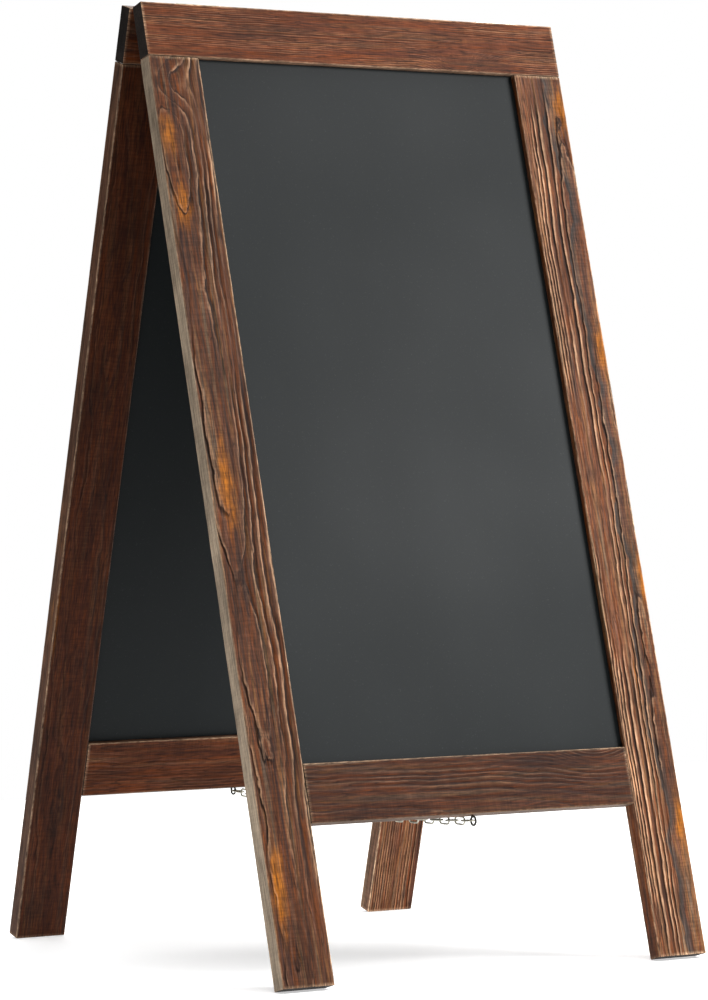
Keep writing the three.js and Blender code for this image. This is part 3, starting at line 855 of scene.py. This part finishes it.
def screwTree():
    # a cross-recessed screw at every point, its head flush and its shank pointing down
    tree, given = newTree("crossHeadScrews", {
        "head": "Float", "rim": "Float", "crown": "Float", "shank": "Float", "length": "Float",
        "recess": "Float", "blade": "Float", "depth": "Float", "finish": "Material",
    })
    add = partial(addNode, tree)
    g = given.outputs
    half = add(maths, {0: g["head"], 1: 0.5}, operation="MULTIPLY")
    ball = add("GeometryNodeMeshUVSphere", {"Segments": 40, "Rings": 24, "Radius": half})
    squash = add(maths, {0: g["crown"], 1: half}, operation="DIVIDE")
    flat = add("ShaderNodeCombineXYZ", {0: 1.0, 1: 1.0, 2: squash})
    head = add("GeometryNodeTransform", {"Geometry": ball, "Scale": flat})
    # the lower half of the flattened ball runs down into a cone and the shank
    place = add("GeometryNodeInputPosition")
    at = add("ShaderNodeSeparateXYZ", {0: place}).node.outputs
    level = add("ShaderNodeCombineXYZ", {0: at[0], 1: at[1]})
    reach = add(vectorMaths, {0: level}, operation="LENGTH")
    under = add(maths, {0: at[2], 1: -1e-6}, operation="LESS_THAN")
    inward = add(maths, {0: half, 1: reach}, operation="SUBTRACT")
    drop = add(maths, {0: inward, 1: -0.9}, operation="MULTIPLY")
    rim = add(maths, {0: drop, 1: g["rim"]}, operation="SUBTRACT")
    cone = add("ShaderNodeCombineXYZ", {0: at[0], 1: at[1], 2: rim})
    head = add("GeometryNodeSetPosition", {"Geometry": head, "Selection": under, "Position": cone})
    thin = add(maths, {0: g["shank"], 1: 0.5}, operation="MULTIPLY")
    shank = add("GeometryNodeMeshCylinder", {"Vertices": 24, "Radius": thin, "Depth": g["length"]})
    sunk = add(maths, {0: g["length"], 1: -0.5}, operation="MULTIPLY")
    sunk = add(maths, {0: sunk, 1: g["depth"]}, operation="SUBTRACT")
    sunk = add("ShaderNodeCombineXYZ", {2: sunk})
    shank = add("GeometryNodeTransform", {"Geometry": shank, "Translation": sunk})
    whole = add("GeometryNodeMeshBoolean", {"Mesh 2": head}, operation="UNION")
    tree.links.new(shank, whole.node.inputs["Mesh 2"])
    tall = add(maths, {0: g["depth"], 1: 2.0}, operation="MULTIPLY")
    cutters = []
    for along, across in ((g["recess"], g["blade"]), (g["blade"], g["recess"])):
        box = add("ShaderNodeCombineXYZ", {0: along, 1: across, 2: tall})
        cutters.append(add("GeometryNodeMeshCube", {"Size": box}))
    cross = add("GeometryNodeMeshBoolean", {"Mesh 2": cutters[0]}, operation="UNION")
    tree.links.new(cutters[1], cross.node.inputs["Mesh 2"])
    screw = add("GeometryNodeMeshBoolean", {"Mesh 1": whole, "Mesh 2": cross}, operation="DIFFERENCE")
    turn = add("GeometryNodeInputNamedAttribute", {"Name": "turn"}, data_type="FLOAT_VECTOR")
    screws = add("GeometryNodeInstanceOnPoints",
                 {"Points": g["Geometry"], "Instance": screw, "Rotation": turn})
    finishTree(tree, screws, g["finish"])
    return tree


crossHeadScrews = screwTree()


def makeScrews(face):
    nodes = [f"{hand}_hinge_{face}_screw_{number}" for hand in ("left", "right") for number in (1, 2)]
    boxes = [panelBox(node) for node in nodes]
    c = screwSizes
    heads = [((low.x + high.x) / 2, (low.y + high.y) / 2, high.z) for low, high in boxes]
    points = bpy.data.meshes.new(face + "-hinge-screws")
    points.from_pydata(heads, [], [])
    mark = points.attributes.new("turn", "FLOAT_VECTOR", "POINT")
    turns = [(0, 0, 0.4 + 1.9 * i) for i in range(len(heads))]      # no two slots line up
    mark.data.foreach_set("vector", np.array(turns, np.float32).ravel())
    screws = runTree(face + "-hinge-screws", points, crossHeadScrews, {
        "head": c["head"] * mm, "rim": c["rim"] * mm, "crown": c["crown"] * mm,
        "shank": c["shank"] * mm, "length": (boxes[0][1].z - boxes[0][0].z) - 2 * mm,
        "recess": c["recess"] * mm, "blade": c["blade"] * mm, "depth": c["recessDepth"] * mm,
        "finish": zincPlate,
    })
    screws.data.transform(panelPlace(face))
    screws.data.shade_smooth()
    screws.data.set_sharp_from_angle(angle=math.radians(c["sharp"]))
    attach(screws, face + "_frame")
    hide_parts(*nodes)


brokenEdges = {
    "pin": 0.2,              # mm
    "leaf": 0.25,
    "link": 0.15,
    "eye": 0.1,
    "from": 35,              # degrees, the flattest edge that is broken
}


def softened(node, material, width):
    # the CAD piece with its edges broken
    name = node.replace("_", "-")
    mesh = frame["nodes"][node].data.copy()
    mesh.name = name
    mesh.materials.clear()
    mesh.materials.append(material)
    bm = bmesh.new()
    bm.from_mesh(mesh)
    bmesh.ops.remove_doubles(bm, verts=bm.verts, dist=1e-6)
    bmesh.ops.dissolve_limit(bm, angle_limit=math.radians(1), verts=bm.verts, edges=bm.edges)
    bm.to_mesh(mesh)
    bm.free()
    piece = bpy.data.objects.new(name, mesh)
    bpy.context.scene.collection.objects.link(piece)
    bevel = piece.modifiers.new("edges", "BEVEL")
    bevel.width = width * mm
    bevel.segments = 2
    bevel.limit_method = "ANGLE"
    bevel.angle_limit = math.radians(brokenEdges["from"])
    mesh.shade_smooth()
    even = piece.modifiers.new("flats", "WEIGHTED_NORMAL")
    even.weight = 90
    graph = bpy.context.evaluated_depsgraph_get()
    solid = bpy.data.meshes.new_from_object(piece.evaluated_get(graph))
    piece.modifiers.clear()
    piece.data = solid
    solid.name = name
    body = next(b for b, nodes in frame["record"]["behaviour"]["bodies"].items() if node in nodes)
    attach(piece, body)
    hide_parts(node)


for hand in ("left", "right"):
    softened(f"{hand}_hinge_pin", zincPlate, brokenEdges["pin"])
    for side in ("front", "back"):
        softened(f"{hand}_hinge_{side}_leaf", zincPlate, brokenEdges["leaf"])
softened(joiningLink, chainWire, brokenEdges["link"])
for side in ("front", "back"):
    softened(f"{side}_chain_eye", darkWire, brokenEdges["eye"])
    makeScrews(side)
print("metal ready")


studio = {
    "floorSize": 1.9,        # m, half the side
    "glow": 0.5,             # light that the pale floor adds by itself, like a light table
    "backdrop": 1.0,         # what the eye sees behind the sign
    "ambient": 0.07,         # what the same room sheds on the sign
    "skyPower": 2.4,
    "skyAngle": 50,          # degrees, how wide the overhead light is
    "softboxes": (           # name, place, aim, width in m, watts
        ("keySoftbox", (1.9, -1.9, 1.9), (0, 0, 0.6), 1.3, 92),
        ("fillSoftbox", (-3.2, 0.7, 1.1), (0, 0.1, 0.6), 1.4, 19),
        ("backSoftbox", (1.6, 3.2, 2.2), (0, 0.2, 0.5), 1.5, 60),
    ),
}


def makeStudio():
    material, tree, surface = newMaterial("paleMattFloor")
    add = partial(addNode, tree)
    place = add("ShaderNodeTexCoord").node.outputs["Object"]
    cloud = add("ShaderNodeTexNoise", {"Vector": place, "Scale": 2.0, "Detail": 2.0})
    tint = add("ShaderNodeMix", {"Factor": cloud, 6: linear("#f2f2f2"), 7: linear("#f6f6f6")},
               data_type="RGBA")
    tree.links.new(tint, surface.inputs["Base Color"])
    surface.inputs["Roughness"].default_value = 0.9
    surface.inputs["Specular IOR Level"].default_value = 0.1
    surface.inputs["Emission Color"].default_value = linear("#ffffff")
    surface.inputs["Emission Strength"].default_value = studio["glow"]
    bm = bmesh.new()
    bmesh.ops.create_grid(bm, x_segments=1, y_segments=1, size=studio["floorSize"])
    mesh = bpy.data.meshes.new("floor")
    bm.to_mesh(mesh)
    bm.free()
    mesh.materials.append(material)
    floor = bpy.data.objects.new("floor", mesh)
    bpy.context.scene.collection.objects.link(floor)

    # a white backdrop that sheds less light than it shows
    world = bpy.data.worlds.new("studio")
    bpy.context.scene.world = world
    world.use_nodes = True
    room = world.node_tree
    seen = addNode(room, "ShaderNodeLightPath").node.outputs["Is Camera Ray"]
    power = addNode(room, mapRange,
                    {"Value": seen, 3: studio["ambient"], 4: studio["backdrop"]})
    sky = room.nodes["Background"]
    sky.inputs["Color"].default_value = linear("#ffffff")
    room.links.new(power, sky.inputs["Strength"])

    for name, spot, aim, across, power in studio["softboxes"]:
        data = bpy.data.lights.new(name, "AREA")
        data.energy = power
        data.size = across
        lamp = bpy.data.objects.new(name, data)
        bpy.context.scene.collection.objects.link(lamp)
        lamp.location = spot
        lamp.rotation_mode = "QUATERNION"
        lamp.rotation_quaternion = (Vector(aim) - Vector(spot)).to_track_quat("-Z", "Y")
    overhead = bpy.data.lights.new("overheadPanel", "SUN")
    overhead.energy = studio["skyPower"]
    overhead.angle = math.radians(studio["skyAngle"])
    lamp = bpy.data.objects.new("overheadPanel", overhead)
    bpy.context.scene.collection.objects.link(lamp)
    lamp.rotation_mode = "QUATERNION"
    lamp.rotation_quaternion = Vector((-0.05, 0.1, -1)).to_track_quat("-Z", "Y")


makeStudio()
bpy.context.scene.view_settings.view_transform = "Standard"
print("studio ready")
